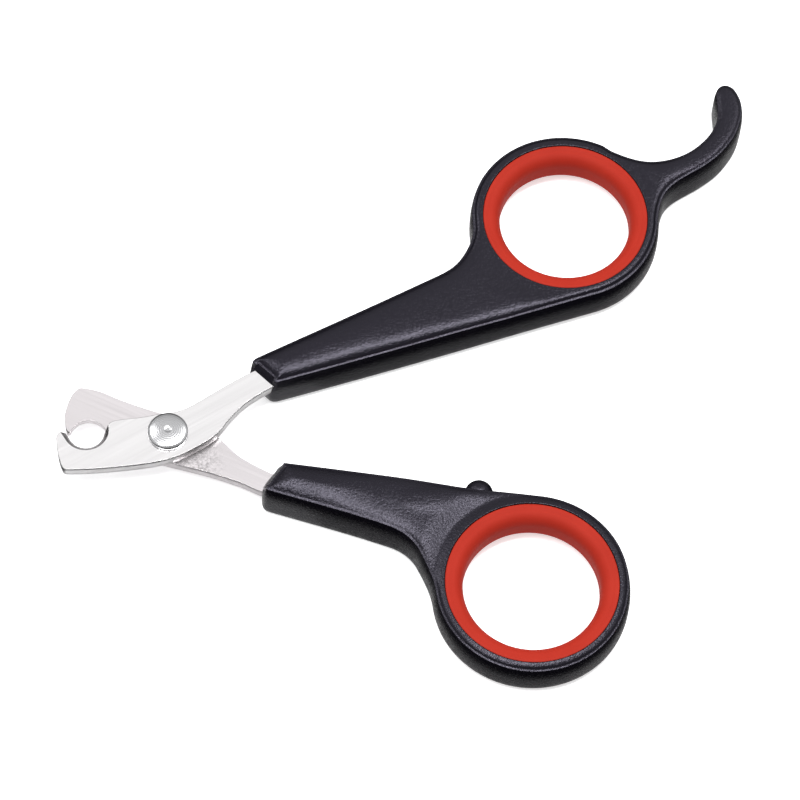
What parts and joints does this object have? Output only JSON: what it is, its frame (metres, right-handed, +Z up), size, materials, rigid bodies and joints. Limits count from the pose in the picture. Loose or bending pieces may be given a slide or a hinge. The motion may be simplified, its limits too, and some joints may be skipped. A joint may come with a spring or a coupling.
{
  "type": "pet nail trimmer",
  "caption": "Scissor-style pet nail trimmer: notched steel blades crossed on a rivet, moulded handles with soft finger rings, a stop bumper and a little-finger rest.",
  "frame": {"origin": "middle of the open trimmer's bounding box, on the surface that it lies on", "axes": "+Z up, along the rivet, from the lower blade to the upper blade; +X halves the angle between the arms and points from the blades to the rings; +Y towards the upper lever's ring"},
  "size_m": [0.1226, 0.1116, 0.0086],
  "materials": {
    "blade_steel": "brushed",
    "rivet_steel": "polished",
    "handle_plastic": "satin",
    "ring_rubber": "satin",
    "bumper_rubber": "matte"
  },
  "bodies": {
    "lower_lever": {"lower_blade": "blade_steel", "lower_handle": "handle_plastic", "lower_ring": "ring_rubber", "stop_bumper": "bumper_rubber", "pivot_rivet": "rivet_steel", "rivet_washer": "blade_steel"},
    "upper_lever": {"upper_blade": "blade_steel", "upper_handle": "handle_plastic", "upper_ring": "ring_rubber"}
  },
  "joints": [
    {"name": "pivot", "type": "hinge", "parent": "lower_lever", "child": "upper_lever", "pos_m": [-0.04251, -0.00774, 0.0043], "axis": [0, 0, 1], "range_deg": [-28.7, 105]}
  ]
}
